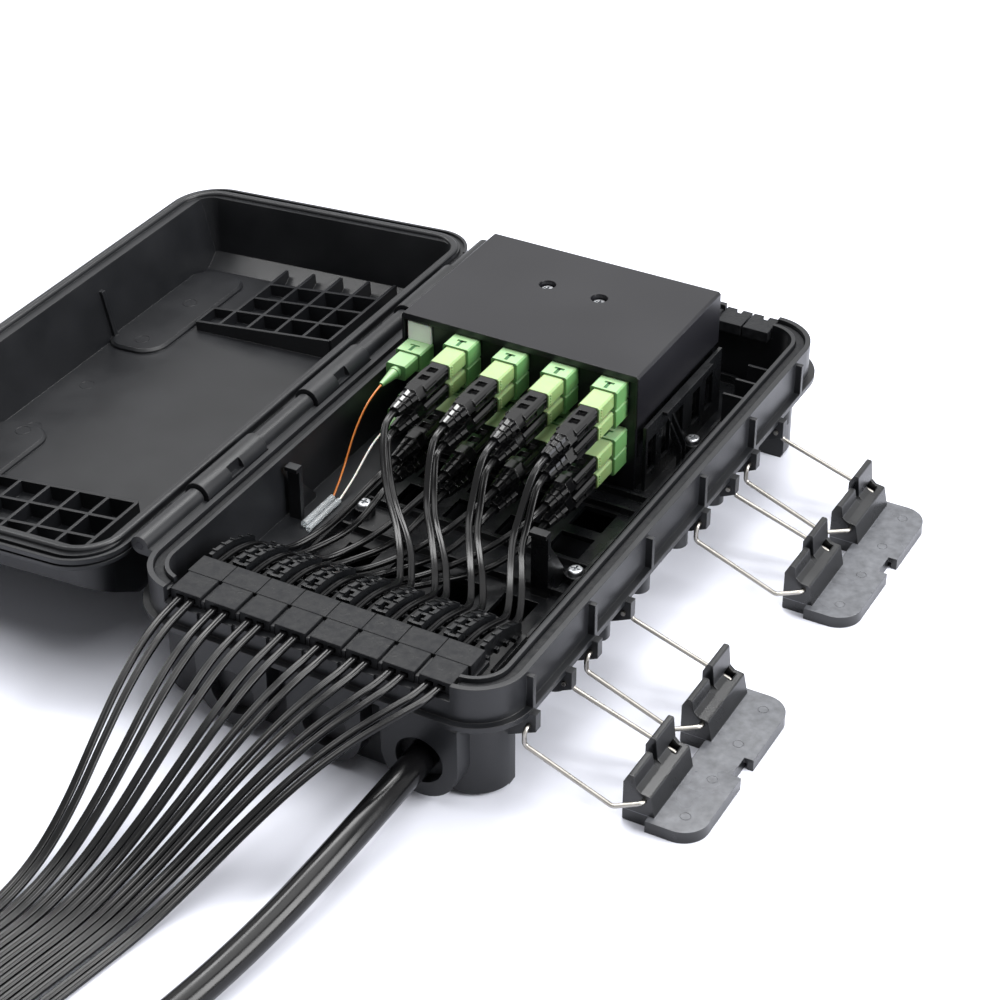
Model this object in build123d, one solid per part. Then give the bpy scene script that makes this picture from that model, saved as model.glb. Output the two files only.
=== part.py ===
from build123d import *
import math
import os

# Open wall box for optical fibre. Millimetres, +Z up.
# Origin: centre of the base's footprint on the surface it rests on.
# -Y is the cable end, -X the hinge side, +X the latch side.

# Base shell
base_width = 170.0
base_length = 314.0
base_corner = 22.0
rim_height = 58.0
band_bottom = 42.0
band_wall = 2.8
band_inset = 6.0
body_corner = 16.0
wall = 2.8
rim_plate = 6.0
flange_thickness = 2.5
flange_reach = 3.0
groove_inset = 2.4
groove_width = 4.6
groove_depth = 3.0
gasket_height = 1.0
fit_gap = 0.3
band_rib_pitch = 51.6
band_rib_count = 6
band_rib_width = 2.2
boss_radius = 5.2
boss_pitch = 37.0
boss_count = 7
boss_bottom = 15.0
ledge_top = 27.9
ledge_thickness = 2.4
recess_x = 60.0
recess_front = -133.0
recess_back = 130.0

# Drop cable seals at the cable end
drop_count = 8
drop_pitch = 16.3
drop_first_x = -58.5
seal_top = 56.0
seal_outer_width = 14.0
seal_inner_width = 15.9
seal_outer_front = 3.5
seal_outer_depth = 13.0
seal_inner_depth = 11.5
seal_split = 0.3
shelf_top = 50.5
shelf_thickness = 2.5
drop_hole_z = 53.0
drop_width = 3.0
drop_height = 2.0
drop_half_spacing = 2.7
seal_clearance = 0.25
rear_seal_x = (42.0, 55.5)
rear_seal_width = 12.5
rear_seal_depth = 14.0

# Round cable ports in the front wall
port_x = (-34.5, 8.5, 51.5)
port_z = 19.5
port_radius = 17.0
port_bore = 10.5
port_reach = 9.0
main_cable_radius = 6.2
gland_set_back = 2.0
clamp_set_back = 9.5
clamp_depth = 9.5
clamp_half_width = 9.0
clamp_top = 29.0

# Hinge
hinge_offset = 6.5
pin_radius = 1.75
pin_clearance = 0.05
lid_knuckle_radius = 6.0
base_knuckle_radius = 4.2
lid_knuckles = ((-97.0, -53.0), (-12.0, 32.0), (73.0, 117.0))
base_knuckles = ((-138.0, -98.0), (-52.0, -13.0), (33.0, 72.0), (118.0, 150.0))
knuckle_slot_length = 9.0
lid_opening = 184.0

# Lid shell, drawn closed and then turned open
lid_width = 171.0
lid_end_reach = 3.0
lid_length = base_length + 2 * lid_end_reach
lid_corner = 23.0
lid_seam_gap = 0.3
lid_height = 38.0
lid_floor = 3.0
lid_wall = 3.5
lid_end_wall = 4.5
lid_latch_wall = 4.8
lid_body_left = -80.0
lid_body_right = 78.5
lid_end_lip = 7.0
lid_body_length = lid_length - 2 * lid_end_lip
lid_body_corner = 12.0
lid_inner_corner = 9.0
lid_lip = 5.0
lid_draft = 6.0
lid_lean = 0.16
lid_front_shoulder = 17.0
lid_front_slope = 33.0
lid_back_shoulder = 29.0
lid_back_slope = 13.0
waffle_x = (34.5, 21.0, 4.5, -12.0, -28.5, -44.0)
waffle_y = (0.0, 15.0, 30.5, 46.0)
waffle_start = (-80.0, 77.5)
waffle_rib = 1.6
waffle_low = 5.0
waffle_rise = 0.067
pad_left = 38.0
pad_right = 70.5
pad_height = 2.3
pad_corner = 12.0
pad_ends = ((-112.0, -33.0), (45.0, 131.0))
tongue_width = 3.4
tongue_height = 2.0
lip_groove_width = 2.2
lip_groove_depth = 1.6
keeper_bottom = 71.0
keeper_height = 3.0
keeper_reach = 87.5

# Inner tray, comb and posts
tray_floor = 22.0
tray_thickness = 2.5
tray_gap = 1.0
tray_side_gap = 1.3
screw_x = 52.0
screw_y = (-30.0, 86.0)
tray_boss_radius = 5.2
tray_boss_height = 4.0
screw_head_radius = 3.4
screw_head_height = 2.2
screw_shank_radius = 1.7
post_top = 55.0
rail_x = 46.6
comb_back = -97.0
comb_front_gap = 0.3
comb_top = 56.5
comb_drop = 9.0
comb_rib = 1.8
comb_depth = 7.5
comb_bar = 2.2

# Cassette, adapters and connectors
cover_left = -73.3
cover_right = 45.0
cover_front = 40.5
cover_back = 125.6
cover_top = 82.0
cover_sheet = 1.2
cover_lip = 3.2
cover_skirt = 26.0
cover_screw_x = (-27.5, -1.0)
cover_screw_y = 94.0
cover_foot_x = -54.1
cover_hole = 4.0
panel_face = 42.5
panel_sheet = 1.6
adapter_width = 12.9
adapter_height = 9.3
adapter_reach = 11.6
adapter_tail = 12.0
column_pitch = 24.41
last_column_x = 33.05
row_z = (73.4, 64.1, 48.9, 39.6)
grip_width = 10.2
grip_height = 7.4
grip_front = 17.0
connector_back = 26.0
connector_front = -3.0
nut_front = -9.0
boot_front = -22.0
nut_radius = 5.1
boot_radius = 4.4
boot_tip_radius = 2.8
boot_flutes = 8
socket_clearance = 0.2

# Wire latches
latch_shift = -154.5
pivot_x = 87.5
pivot_z = 35.0
wire_radius = 1.0
wire_clearance = 0.05
bail_legs = (13.0, 53.0)
bail_step = 52.0
axle_x = 134.5
axle_z = 12.4
knee_x = 125.5
knee_z = 13.0
block_start = 22.0
block_length = 35.0
block_back = 9.0
plate_start_y = 19.0
plate_end_y = 112.0
plate_end_x = 158.5
plate_top = 5.5
plate_wall = 2.6
plate_corner = 11.0

seam_z = rim_height + lid_seam_gap
cavity_width = base_width - 2 * band_inset - 2 * wall
cavity_length = base_length - 2 * band_inset - 2 * wall
front_y = -base_length / 2
hinge_x = -base_width / 2 - hinge_offset
column_x = [last_column_x - column_pitch * (4 - i) for i in range(5)]
drop_x = [drop_first_x + drop_pitch * i for i in range(drop_count)]
shelf_back = front_y + seal_outer_front + seal_outer_depth + seal_split + seal_inner_depth + 1.0


def block(x0, x1, y0, y1, z0, z1):
    return Pos((x0 + x1) / 2, (y0 + y1) / 2, (z0 + z1) / 2) * Box(x1 - x0, y1 - y0, z1 - z0)


def rounded(width, length, corner, z0, z1, taper=0.0):
    return Pos(0, 0, z0) * extrude(RectangleRounded(width, length, corner), z1 - z0, taper=taper)


def rod_y(x, z, radius, y0, y1):
    return Pos(x, (y0 + y1) / 2, z) * Rot(90, 0, 0) * Cylinder(radius, abs(y1 - y0))


def rod_z(x, y, radius, z0, z1):
    return Pos(x, y, (z0 + z1) / 2) * Cylinder(radius, z1 - z0)


def prism_y(points, y0, y1, corner=0.0):
    outline = FilletPolyline(*points, radius=corner, close=True) if corner else Polyline(*points, close=True)
    face = make_face(outline)
    return Pos(0, y1, 0) * extrude(Rot(90, 0, 0) * face, y1 - y0)


def prism_x(points, x0, x1):
    face = make_face(Polyline(*points, close=True))
    return Pos(x0, 0, 0) * extrude(Plane.YZ * face, x1 - x0)


def save(shape, name):
    parts = shape if isinstance(shape, (list, tuple)) else [shape]
    solids = [solid for part in parts for solid in part.solids()]
    export_step(solids[0] if len(solids) == 1 else Compound(children=solids), f"parts/{name}.step")


def ring(width, length, corner, inset, across, z0, z1):
    outer = rounded(width - 2 * inset, length - 2 * inset, corner - inset, z0, z1)
    inner_inset = inset + across
    inner = rounded(width - 2 * inner_inset, length - 2 * inner_inset, corner - inner_inset, z0 - 1, z1 + 1)
    return outer - inner


def make_post(x, y, half, foot):
    post = block(x - half, x + half, y - 1.2, y + 1.2, foot - 1, post_top)
    gusset = [(y, foot - 1), (y, post_top - 6), (y + 17, foot + 2), (y + 17, foot - 1)]
    gusset_x = x + half - 2 if x > 0 else x - half
    post += prism_x(gusset, gusset_x, gusset_x + 2)
    return post + block(x - half, x + half, y - 3.2, y, post_top - 2, post_top)


def make_base_shell():
    band = rounded(base_width, base_length, base_corner, band_bottom - flange_thickness, rim_height)
    channel = ring(base_width, base_length, base_corner, band_wall, band_inset - band_wall,
                   band_bottom - flange_thickness - 1, rim_height - rim_plate)
    flange_width = base_width + 2 * flange_reach
    flange_length = base_length + 2 * flange_reach
    flange = ring(flange_width, flange_length, base_corner + flange_reach, 0, flange_reach + band_wall / 2,
                  band_bottom - flange_thickness, band_bottom)
    body_width = base_width - 2 * band_inset
    body_length = base_length - 2 * band_inset
    body = rounded(body_width, body_length, body_corner, 0, rim_height - rim_plate)
    body = chamfer(body.faces().sort_by(Axis.Z)[0].edges(), 2.0)
    shell = band - channel + flange + body
    for i in range(band_rib_count):
        y = (i - (band_rib_count - 1) / 2) * band_rib_pitch - 6.5
        shell += block(base_width / 2 - 1, base_width / 2 + flange_reach, y, y + band_rib_width,
                       band_bottom - 1, rim_height - 1.5)
    for i in range(boss_count):
        y = (i - (boss_count - 1) / 2) * boss_pitch + 11.0
        x = body_width / 2
        column = rod_z(x, y, boss_radius, boss_bottom + boss_radius, band_bottom)
        column += Pos(x, y, boss_bottom + boss_radius) * Sphere(boss_radius)
        shell += column - block(-x, x - 1, y - 20, y + 20, 0, band_bottom + 5)
    port_front = front_y - port_reach + band_inset
    for x in port_x:
        shell += rod_y(x, port_z, port_radius, port_front, front_y + band_inset + 1)
        shell += block(x - port_radius, x + port_radius, port_front, front_y + band_inset + 1,
                       port_z, band_bottom - flange_thickness)
    floor = rounded(cavity_width, cavity_length, body_corner - wall, wall, rim_height + 1)
    shell -= floor
    for side in (-1, 1):
        inner_x = recess_x - wall
        xs = sorted((side * inner_x, side * (base_width / 2 - band_inset - 1)))
        shell += block(xs[0], xs[1], recess_front - wall, recess_back + wall, 0, ledge_top)
        xs = sorted((side * recess_x, side * base_width / 2))
        recess = block(xs[0], xs[1], recess_front, recess_back, -1, ledge_top - ledge_thickness)
        shell -= recess
    for y in (132.0, 118.0, 104.0):
        shell += block(recess_x - 2.0, base_width / 2 - band_inset - 1, y - 0.7, y + 0.7, ledge_top - 1, 44.0)
    shell += make_post(-71.3, -54.0, 3.0, ledge_top)
    groove = ring(base_width, base_length, base_corner, groove_inset, groove_width,
                  rim_height - groove_depth, rim_height + 1)
    shell -= groove
    shelf_left = drop_x[0] - drop_pitch / 2 - 1
    shelf_right = drop_x[-1] + drop_pitch / 2 + 1
    shell += block(shelf_left, shelf_right, front_y + band_inset, shelf_back,
                   shelf_top - shelf_thickness, shelf_top)
    shell += block(shelf_left, shelf_right, front_y + 1, front_y + band_inset + 1,
                   shelf_top - shelf_thickness, shelf_top)
    shell -= block(shelf_left + 1, shelf_right - 1, front_y - 1, shelf_back + 1, shelf_top, rim_height + 1)
    for i in range(drop_count - 1):
        x = (drop_x[i] + drop_x[i + 1]) / 2
        shell += block(x - 0.8, x + 0.8, front_y + seal_outer_front, front_y + seal_outer_front + seal_outer_depth,
                       shelf_top - 1, seal_top - 1.5)
        shell -= block(x - 0.8, x + 0.8, front_y - 1, front_y + 1.2, band_bottom + 3, shelf_top)
    rear_y = base_length / 2
    rear_left = rear_seal_x[0] - rear_seal_width / 2 - 0.5
    rear_right = rear_seal_x[-1] + rear_seal_width / 2 + 0.5
    shell -= block(rear_left, rear_right, rear_y - rear_seal_depth, rear_y + 1, shelf_top, rim_height + 1)
    for x in port_x:
        shell -= rod_y(x, port_z, port_bore, front_y - port_reach, front_y + band_inset + wall + 1)
    for y in screw_y:
        for x in (-screw_x, screw_x):
            tower = rod_z(x, y, tray_boss_radius, wall - 1, tray_floor - tray_thickness)
            shell += tower - rod_z(x, y, screw_shank_radius, tray_floor - 9, tray_floor)
    knuckle_z = rim_height
    for y0, y1 in base_knuckles:
        web = block(hinge_x, -base_width / 2 + 1, y0, y1, knuckle_z - base_knuckle_radius, knuckle_z - 0.5)
        shell += web + rod_y(hinge_x, knuckle_z, base_knuckle_radius, y0, y1)
    for y0, y1 in base_knuckles:
        shell -= rod_y(hinge_x, knuckle_z, pin_radius + pin_clearance, y0 - 1, y1 + 1)
    for shift in (0, latch_shift):
        for leg in (bail_legs[0], bail_legs[0] + bail_step):
            for y in (leg + 3.2, leg + bail_legs[1] - bail_legs[0] - 7.2):
                y += shift
                profile = [(body_width / 2 - 1, pivot_z - 8), (body_width / 2 - 1, band_bottom - 1),
                           (pivot_x + 3.2, band_bottom - 1), (pivot_x + 3.2, pivot_z - 2), (pivot_x - 1, pivot_z - 4)]
                shell += prism_y(profile, y, y + 4)
                shell -= rod_y(pivot_x, pivot_z, wire_radius + wire_clearance, y - 1, y + 5)
    return shell


def make_gasket():
    gasket = ring(base_width, base_length, base_corner, groove_inset + fit_gap, groove_width - 2 * fit_gap,
                  rim_height - groove_depth, rim_height - groove_depth + gasket_height)
    gasket -= block(drop_x[0] - drop_pitch / 2 - 1.5, drop_x[-1] + drop_pitch / 2 + 1.5,
                    front_y - 1, front_y + 20, 0, rim_height + 1)
    gasket -= block(rear_seal_x[0] - rear_seal_width / 2 - 1, rear_seal_x[-1] + rear_seal_width / 2 + 1,
                    base_length / 2 - 20, base_length / 2 + 1, 0, rim_height + 1)
    return gasket


def make_drop_seals():
    seals = []
    outer_y = front_y + seal_outer_front
    inner_y = outer_y + seal_outer_depth + seal_split
    for x in drop_x:
        outer = block(x - seal_outer_width / 2, x + seal_outer_width / 2, outer_y, outer_y + seal_outer_depth,
                      shelf_top, seal_top)
        inner = block(x - seal_inner_width / 2, x + seal_inner_width / 2, inner_y, inner_y + seal_inner_depth,
                      shelf_top, seal_top)
        for side in (-1, 1):
            cut_x = x + side * drop_half_spacing
            half = drop_width / 2 + seal_clearance
            tall = drop_height / 2 + seal_clearance
            slot = block(cut_x - half, cut_x + half, outer_y - 1, inner_y + seal_inner_depth + 1,
                         drop_hole_z - tall, drop_hole_z + tall)
            outer -= slot
            inner -= slot
        seals += [outer, inner]
    return seals


def make_rear_seals():
    y1 = base_length / 2 + 0.5
    y0 = base_length / 2 - rear_seal_depth + 0.5
    seals = []
    for x in rear_seal_x:
        half = rear_seal_width / 2
        foot = block(x - half, x + half, y0, y1, shelf_top + fit_gap, seal_top)
        seals.append(foot - block(x - 1.5, x + 1.5, y1 - 3, y1 + 1, seal_top - 2, seal_top + 1))
    return seals


def make_tray():
    width = 2 * (recess_x - wall - tray_side_gap)
    tray_front = shelf_back + comb_front_gap
    tray_back = cavity_length / 2 - tray_gap
    length = tray_back - tray_front
    middle = (tray_back + tray_front) / 2
    z0 = tray_floor - tray_thickness
    tray = Pos(0, middle, 0) * rounded(width, length, body_corner - wall, z0, tray_floor)
    rim = Pos(0, middle, 0) * rounded(width, length, body_corner - wall, z0, tray_floor + 4.5)
    rim -= Pos(0, middle, 0) * rounded(width - 3, length - 3, body_corner - wall - 1.5, z0 - 1, tray_floor + 6)
    tray += rim
    for x in (-38.0, -13.0, 13.0, 38.0):
        for y in (-60.0, -8.0, 14.0):
            tray -= block(x - 8, x + 8, y - 8, y + 8, z0 - 1, tray_floor + 1)
    for y in (-44.0, -22.0, 24.0, 36.0):
        tray += block(-width / 2 + 1, width / 2 - 1, y - 0.7, y + 0.7, tray_floor - 1, tray_floor + 3.5)
    for y in screw_y:
        for x in (-screw_x, screw_x):
            boss_top = tray_floor + tray_boss_height
            tray += rod_z(x, y, tray_boss_radius - 0.4, z0, boss_top)
            tray -= rod_z(x, y, screw_shank_radius + 0.2, z0 - 1, boss_top + 1)
            tray -= rod_z(x, y, screw_head_radius + 0.4, boss_top, boss_top + 2)
    tray += make_post(44.0, -46.5, 4.0, tray_floor)
    for y in (66.0, 70.4):
        tray += prism_y([(rail_x + 1, 50), (rail_x + 1, 44), (rail_x + 6.5, 32), (rail_x + 8.5, 32), (rail_x + 8.5, 35)],
                        y, y + 1.2)
        tray += block(rail_x + 6.5, rail_x + 8.5, y, y + 1.2, tray_floor - 1, 33)
    tray += block(rail_x, rail_x + 1.6, 44.0, 123.0, tray_floor - 1, post_top)
    tray += block(rail_x, rail_x + 4.0, 60.0, 108.0, post_top - 1.5, post_top)
    for y in (50.0, 64.0, 78.0, 96.0, 110.0):
        tray -= block(rail_x - 1, rail_x + 3, y - 4, y + 4, tray_floor + 8, post_top - 8)
    return tray


def comb_height(y):
    reach = (y - shelf_back) / (comb_back - shelf_back)
    return comb_top - comb_drop * reach * reach


def make_comb():
    y0 = shelf_back + comb_front_gap
    left = drop_x[0] - drop_pitch / 2
    right = drop_x[-1] + drop_pitch / 2
    ys = [y0 + (comb_back - y0) * i / 4 for i in range(5)]
    upper = [(y, comb_height(y)) for y in ys]
    comb = None
    for x in drop_x:
        for side in (-1, 1):
            edge = x + side * (2 * drop_half_spacing + 0.4) - comb_rib / 2
            lower = [(y, z - comb_depth) for y, z in reversed(upper)]
            rib = prism_x(upper + lower, edge, edge + comb_rib)
            comb = rib if comb is None else comb + rib
    rib_x = 2 * drop_half_spacing + 0.4
    for i, y in enumerate(ys):
        start = y if i < 4 else y - 2
        z = comb_height(start + 2) - comb_depth
        comb += block(left, right, start, start + 2, z, z + comb_bar)
        for x in drop_x[:-1]:
            comb += block(x + rib_x, x + drop_pitch - rib_x, start, start + 1.4,
                          z + comb_depth - 2.4, z + comb_depth - 0.2)
    z = comb_height(comb_back) - comb_depth + comb_bar
    for x, foot in ((left, ledge_top), (drop_x[3] + drop_pitch / 2, tray_floor), (right, ledge_top)):
        comb += block(x - 1, x + 1, y0 + 4.0, comb_back, foot, z)
    return comb


def make_screw(x, y, seat, length):
    head = rod_z(x, y, screw_head_radius, seat, seat + screw_head_height)
    head = fillet(head.faces().sort_by(Axis.Z)[-1].edges(), 1.2)
    screw = head + rod_z(x, y, screw_shank_radius, seat - length, seat + 0.1)
    top = seat + screw_head_height
    screw -= block(x - 2.0, x + 2.0, y - 0.4, y + 0.4, top - 1.1, top + 1)
    screw -= block(x - 0.4, x + 0.4, y - 2.0, y + 2.0, top - 1.1, top + 1)
    return screw


def make_cover():
    z0 = cover_top - cover_skirt
    outer = block(cover_left, cover_right, cover_front, cover_back, z0, cover_top)
    outer = chamfer(outer.edges().filter_by(Axis.Y).group_by(Axis.Z)[-1], 1.0)
    inner = block(cover_left + cover_sheet, cover_right - cover_sheet, cover_front - 1, cover_back - cover_sheet,
                  z0 - 1, cover_top - cover_sheet)
    cover = outer - inner
    cover += block(cover_left, cover_right, cover_front, cover_front + cover_sheet,
                   cover_top - cover_lip, cover_top - 1.0)
    for x in cover_screw_x:
        well = rod_z(x, cover_screw_y, cover_hole + 0.9, cover_top - 5, cover_top - 0.5)
        cover += well
        cover -= rod_z(x, cover_screw_y, cover_hole, cover_top - 4.2, cover_top + 1)
        cover -= rod_z(x, cover_screw_y, screw_shank_radius + 0.2, cover_top - 6, cover_top)
    return cover


def make_bracket():
    gap = cover_sheet + 0.15
    x0 = cover_left + gap
    x1 = cover_right - gap
    y0 = panel_face + panel_sheet + 0.1
    y1 = cover_back - gap
    z0 = tray_floor
    bracket = block(x0, x1, y0, y1, z0, cover_top - 8)
    bracket -= block(x0 + 2, x1 - 2, y0 - 1, y1 - 2, z0 + 2, cover_top)
    for x in cover_screw_x:
        bracket += rod_z(x, cover_screw_y, 4.0, z0 + 1, cover_top - 5)
        bracket -= rod_z(x, cover_screw_y, screw_shank_radius, cover_top - 16, cover_top)
    for y in screw_y:
        bracket -= rod_z(-screw_x, y, tray_boss_radius + 1, z0 - 1, z0 + tray_boss_height + 4)
    bracket -= block(x0 - 1, cover_foot_x, y0 - 1, y1 + 1, z0 - 1, ledge_top)
    return bracket


def make_panel():
    gap = cover_sheet + 0.15
    panel = block(cover_left + gap, cover_right - gap, panel_face, panel_face + panel_sheet,
                  tray_floor + 0.1, cover_top - cover_sheet - 0.1)
    panel -= block(cover_left, cover_foot_x, panel_face - 1, panel_face + panel_sheet + 1,
                   tray_floor, ledge_top + 0.1)
    for i, x in enumerate(column_x):
        for j, z in enumerate(row_z):
            if i == 0 and j in (0, 2):
                continue
            panel -= block(x - adapter_width / 2 + 1.1, x + adapter_width / 2 - 1.1, 0, 60,
                           z - adapter_height / 2 + 0.6, z + adapter_height / 2 - 0.6)
    return panel


def make_adapter(x, z):
    half = adapter_width / 2
    tall = adapter_height / 2
    front = panel_face - adapter_reach
    body = block(x - half, x + half, front, panel_face, z - tall, z + tall)
    body = chamfer(body.edges().filter_by(Axis.Y), 0.7)
    body += block(x - half + 1.2, x + half - 1.2, panel_face - 0.1, panel_face + adapter_tail,
                  z - tall + 0.7, z + tall - 0.7)
    body -= block(x - grip_width / 2 - socket_clearance, x + grip_width / 2 + socket_clearance, front - 1,
                  front + 8, z - grip_height / 2 - socket_clearance, z + grip_height / 2 + socket_clearance)
    body -= block(x - 0.8, x + 0.8, front + 1.2, front + 6.6, z + tall - 0.5, z + tall + 1)
    body -= block(x - 2.3, x + 2.3, front + 5.2, front + 6.6, z + tall - 0.5, z + tall + 1)
    return body


def make_grip(x, z):
    front = panel_face - adapter_reach
    grip = block(x - grip_width / 2, x + grip_width / 2, grip_front, front + 7.5,
                 z - grip_height / 2, z + grip_height / 2)
    grip = chamfer(grip.edges().filter_by(Axis.Y), 0.8)
    return grip - block(x - 3.4, x + 3.4, grip_front - 1, connector_back + 0.1, z - 2.9, z + 2.9)


def make_connector(x, z):
    body = block(x - 3.3, x + 3.3, grip_front - 0.5, connector_back, z - 2.8, z + 2.8)
    sleeve = block(x - 4.6, x + 4.6, connector_front, grip_front - 0.3, z - 3.6, z + 3.6)
    sleeve = chamfer(sleeve.edges().filter_by(Axis.Y), 1.1)
    body += sleeve
    body += block(x - 5.2, x + 5.2, 6.0, 13.0, z - 2.2, z + 2.2)
    for y in (3.5, 10.5):
        body -= block(x - 2.2, x + 2.2, y - 2.2, y + 2.2, z + 2.2, z + 5)
    return body


def make_boot(x, z):
    nut = Pos(x, (connector_front + nut_front) / 2, z) * Rot(90, 0, 0) * extrude(
        RegularPolygon(nut_radius, 6), (connector_front - nut_front) / 2, both=True)
    cone = loft([fluted(boot_radius, x, nut_front + 0.2, z), fluted(boot_tip_radius, x, boot_front, z)])
    boot = nut + cone
    for y in (-13.0, -17.0):
        boot -= Pos(x, y, z) * Rot(90, 0, 0) * (Box(10, 10, 0.9) - Box(4.4, 4.4, 2))
    return boot


def fluted(radius, x, y, z):
    points = []
    for i in range(2 * boot_flutes):
        angle = math.pi * (i + 0.5) / boot_flutes
        reach = radius if i % 2 == 0 else 0.84 * radius
        points.append((x + reach * math.cos(angle), y, z + reach * math.sin(angle)))
    return make_face(Polyline(*points, close=True))


def make_pigtail_plug(x, z):
    front = panel_face - adapter_reach
    plug = block(x - grip_width / 2, x + grip_width / 2, grip_front + 3, front + 7.5,
                 z - grip_height / 2, z + grip_height / 2)
    plug = chamfer(plug.edges().filter_by(Axis.Y), 0.8)
    return plug + rod_y(x, z, 2.8, grip_front + 1, grip_front + 4)


def make_pigtail_boot(x, z):
    length = grip_front + 1 - 7.0
    return Pos(x, grip_front + 1, z) * Rot(90, 0, 0) * Cone(2.5, 1.1, length, align=(Align.CENTER, Align.CENTER,
                                                                                    Align.MIN))


def lid_ends(inset, drop):
    half = lid_body_length / 2 - inset
    top = seam_z + lid_height - drop
    back = seam_z + lid_back_shoulder - drop * 0.5
    front = seam_z + lid_front_shoulder - drop * 0.5
    profile = [(-half, seam_z - 20), (half, seam_z - 20), (half, back), (half - lid_back_slope, top),
               (-half + lid_front_slope, top), (-half, front)]
    return prism_x(profile, -lid_width, lid_width)


def lid_latch_side(seam_x):
    low_x = seam_x + 20 * lid_lean
    high_x = seam_x - 60 * lid_lean
    profile = [(-lid_width, seam_z - 20), (low_x, seam_z - 20), (high_x, seam_z + 60), (-lid_width, seam_z + 60)]
    return prism_y(profile, -lid_length, lid_length)


def lid_body(inset, end_inset, latch_inset, drop, corner, edge):
    left = lid_body_left + inset
    right = lid_body_right - inset
    width = right - left
    length = lid_body_length - 2 * end_inset
    body = rounded(width, length, corner, seam_z, seam_z + lid_height - drop, lid_draft)
    body = fillet(body.faces().sort_by(Axis.Z)[-1].edges(), edge)
    return Pos((left + right) / 2, 0, 0) * body & lid_ends(end_inset, drop) & lid_latch_side(
        lid_body_right - latch_inset)


def make_lid():
    lid = lid_body(0, 0, 0, 0, lid_body_corner, 6.0)
    lid += rounded(lid_width, lid_length, lid_corner, seam_z, seam_z + lid_lip)
    lid -= lid_body(lid_wall, lid_end_wall, lid_latch_wall, lid_floor, lid_inner_corner, 4.0)
    lid -= ring(lid_width, lid_length, lid_corner, 1.4, lip_groove_width, seam_z - 1, seam_z + lip_groove_depth)
    lid -= ring(lid_width, lid_length, lid_corner, -1, 2.6, seam_z + 2.2, seam_z + 3.2)
    middle = base_width / 2 - groove_inset - groove_width / 2
    tongue_inset = lid_width / 2 - middle - tongue_width / 2
    extra = (lid_length - base_length) / 2 - (lid_width - base_width) / 2
    tongue = ring(lid_width, lid_length - 2 * extra, lid_corner, tongue_inset, tongue_width,
                  seam_z - tongue_height, seam_z + 1)
    lid += fillet(tongue.faces().sort_by(Axis.Z)[0].edges(), 1.2)
    floor_z = seam_z + lid_height - lid_floor
    far = (-(lid_body_length / 2 - lid_end_wall - lid_front_slope) - 4,
           lid_body_length / 2 - lid_end_wall - lid_back_slope + 4)
    tips = [waffle_low + (waffle_x[0] - x) * waffle_rise for x in waffle_x]
    for end, near, last in zip((-1, 1), waffle_start, far):
        for i, (x, tip) in enumerate(zip(waffle_x, tips)):
            stop = near + end * waffle_y[1] if i == 0 else last
            lid += block(x - waffle_rib / 2, x + waffle_rib / 2, min(near, stop), max(near, stop),
                         floor_z - tip, floor_z + 1)
        for i, step in enumerate(waffle_y):
            y = near + end * step
            if abs(y) > abs(last):
                continue
            x0 = waffle_x[0] if i < 2 else waffle_x[1]
            profile = [(x0, floor_z + 1), (x0, floor_z - waffle_low - (waffle_x[0] - x0) * waffle_rise),
                       (waffle_x[-1], floor_z - tips[-1]), (waffle_x[-1], floor_z + 1)]
            lid += prism_y(profile, y - waffle_rib / 2, y + waffle_rib / 2)
    for y0, y1 in pad_ends:
        pad = rounded(pad_right - pad_left, y1 - y0, pad_corner, floor_z - pad_height, floor_z + 1)
        pad = chamfer(pad.faces().sort_by(Axis.Z)[0].edges(), 1.2)
        lid += Pos((pad_left + pad_right) / 2, (y0 + y1) / 2, 0) * pad
    wall_foot = lid_body_right - lid_latch_wall
    low, high = wall_foot - 9 * lid_lean, wall_foot - (floor_z - seam_z) * lid_lean
    lid += prism_y([(high - 1.8, floor_z), (high + 1, floor_z), (low + 1, seam_z + 9), (low - 1.8, seam_z + 9)],
                   52.2, 54.8)
    for y0, y1 in lid_knuckles:
        web = block(hinge_x, -lid_width / 2 + 1, y0, y1, seam_z + 0.4, seam_z + lid_lip)
        lid += web + rod_y(hinge_x, rim_height, lid_knuckle_radius, y0, y1)
    for y0, y1 in lid_knuckles:
        lid -= rod_y(hinge_x, rim_height, pin_radius + pin_clearance, y0 - 1, y1 + 1)
        middle_y = (y0 + y1) / 2
        lid -= block(hinge_x - 8, hinge_x - 3.4, middle_y - knuckle_slot_length / 2,
                     middle_y + knuckle_slot_length / 2, rim_height - 8, rim_height - 0.4)
    for y0, y1 in base_knuckles:
        lid -= block(-lid_width / 2 + 0.8, -lid_width / 2 + 2.6, y0 + 8, y1 - 8, seam_z - 1, seam_z + lid_lip + 1)
    for shift in (0, latch_shift):
        root = wall_foot + 0.8
        keeper = [(root, keeper_bottom - 6), (keeper_reach, keeper_bottom), (keeper_reach, keeper_bottom + 4),
                  (keeper_reach - 1.6, keeper_bottom + 4), (keeper_reach - 1.6, keeper_bottom + keeper_height),
                  (root, keeper_bottom + keeper_height)]
        lid += prism_y(keeper, block_start + shift, block_start + bail_step + block_length + shift)
    turn = Pos(hinge_x, 0, rim_height) * Rot(0, -lid_opening, 0) * Pos(-hinge_x, 0, -rim_height)
    return turn * lid


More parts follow.
